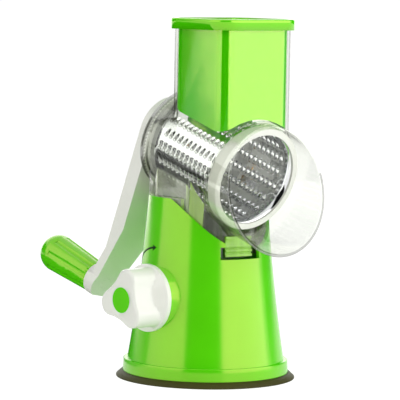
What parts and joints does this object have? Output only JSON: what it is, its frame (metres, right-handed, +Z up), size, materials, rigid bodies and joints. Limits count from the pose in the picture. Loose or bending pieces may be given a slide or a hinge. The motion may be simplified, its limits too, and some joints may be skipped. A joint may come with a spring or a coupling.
{
  "type": "rotary cabbage shredder",
  "caption": "Hand-cranked drum shredder with a clear housing, a pusher in a square hopper, a side crank and a suction base with a locking knob.",
  "frame": {"origin": "middle of the flat underside of the suction pad", "axes": "+Z up, -Y towards the discharge mouth, -X towards the suction knob, +Y towards the crank"},
  "size_m": [0.16, 0.258, 0.285],
  "materials": {
    "green_plastic": "gloss",
    "pusher_plastic": "gloss",
    "white_plastic": "gloss",
    "clear_plastic": "gloss",
    "grey_rubber": "matte",
    "grey_nylon": "matte",
    "steel_sheet": "polished",
    "plated_steel": "polished",
    "turned_brass": "satin"
  },
  "bodies": {
    "base": {"base_body": "green_plastic", "base_ring": "green_plastic", "suction_pad": "grey_rubber", "bottom_plate": "grey_nylon", "plate_screws": "plated_steel", "lock_bush": "grey_nylon"},
    "lock": {"lock_knob": "white_plastic", "knob_cap": "green_plastic", "knob_screw": "plated_steel", "lock_shaft": "plated_steel", "lock_cam": "grey_nylon"},
    "puller": {"pull_stem": "plated_steel", "pull_yoke": "grey_nylon"},
    "housing": {"drum_housing": "clear_plastic", "rear_bush": "grey_nylon"},
    "latch": {"release_tab": "clear_plastic"},
    "rotor": {"drum_shell": "steel_sheet", "drum_front_ring": "white_plastic", "drum_rear_disc": "white_plastic", "hub_insert": "turned_brass", "drum_nut": "plated_steel", "crank_shaft": "plated_steel", "crank_arm": "white_plastic", "crank_screw": "plated_steel", "crank_cap": "green_plastic", "grip_pin": "plated_steel"},
    "grip": {"grip_handle": "green_plastic"},
    "pusher": {"pusher_body": "pusher_plastic", "pusher_lid": "pusher_plastic"}
  },
  "joints": [
    {"name": "lock_turn", "type": "hinge", "parent": "base", "child": "lock", "pos_m": [-0.06, 0, 0.0667], "axis": [1, 0, 0], "range_deg": [0, 90]},
    {"name": "pad_lift", "type": "slide", "parent": "base", "child": "puller", "axis": [0, 0, 1], "range_m": [0, 0.004], "deforming": ["suction_pad"]},
    {"name": "housing_lift", "type": "slide", "parent": "base", "child": "housing", "axis": [0, 0, 1], "range_m": [0, 0.055]},
    {"name": "tab_press", "type": "hinge", "parent": "housing", "child": "latch", "pos_m": [-0.0071, -0.04381, 0.1146], "axis": [0.9871, -0.1599, 0], "range_deg": [0, 6], "stiffness_Nm_per_rad": 0.3},
    {"name": "crank_spin", "type": "hinge", "parent": "housing", "child": "rotor", "pos_m": [0, 0.0326, 0.1882], "axis": [0, -0.9551, -0.2964], "continuous": true},
    {"name": "grip_spin", "type": "hinge", "parent": "rotor", "child": "grip", "pos_m": [-0.02741, 0.10501, 0.06959], "axis": [0, 0.9551, 0.2964], "continuous": true},
    {"name": "pusher_slide", "type": "slide", "parent": "housing", "child": "pusher", "axis": [0, 0, 1], "range_m": [0, 0.1]}
  ],
  "couplings": [
    {"joint": "lock_turn", "follows": "pad_lift", "rad_per_m": 392.6}
  ]
}
